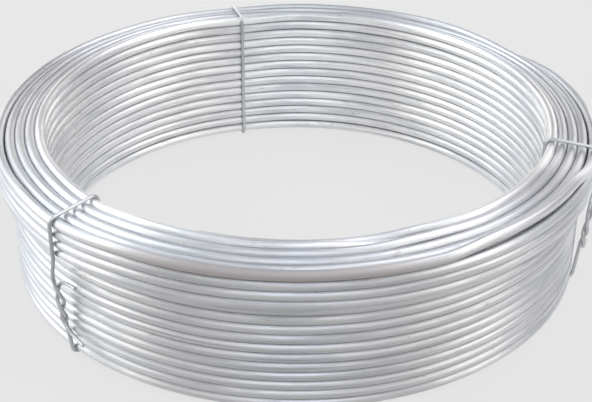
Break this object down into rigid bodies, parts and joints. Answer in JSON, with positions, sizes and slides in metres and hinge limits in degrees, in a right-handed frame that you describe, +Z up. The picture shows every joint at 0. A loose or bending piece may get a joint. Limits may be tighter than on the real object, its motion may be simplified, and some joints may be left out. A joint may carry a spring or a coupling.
{
  "type": "coil of galvanized iron wire",
  "caption": "Coil of bright galvanized iron wire lying on its end, wound in layers around an open eye and held together by thin twisted tie wires.",
  "frame": {"origin": "on the coil's axis, in the plane of the undersides of the tie wires that it lies on", "axes": "+Z up along the coil's axis; -Y is the side nearest the camera, with the left tie to its -X side and the right tie to its +X side"},
  "size_m": [0.2396, 0.2392, 0.0623],
  "materials": {
    "galvanized_wire": "bright zinc, satin",
    "tie_wire": "zinc, dull"
  },
  "bodies": {
    "root": {"wire_coil": "galvanized_wire", "tie_left": "tie_wire", "tie_back": "tie_wire", "tie_right": "tie_wire"}
  },
  "joints": []
}
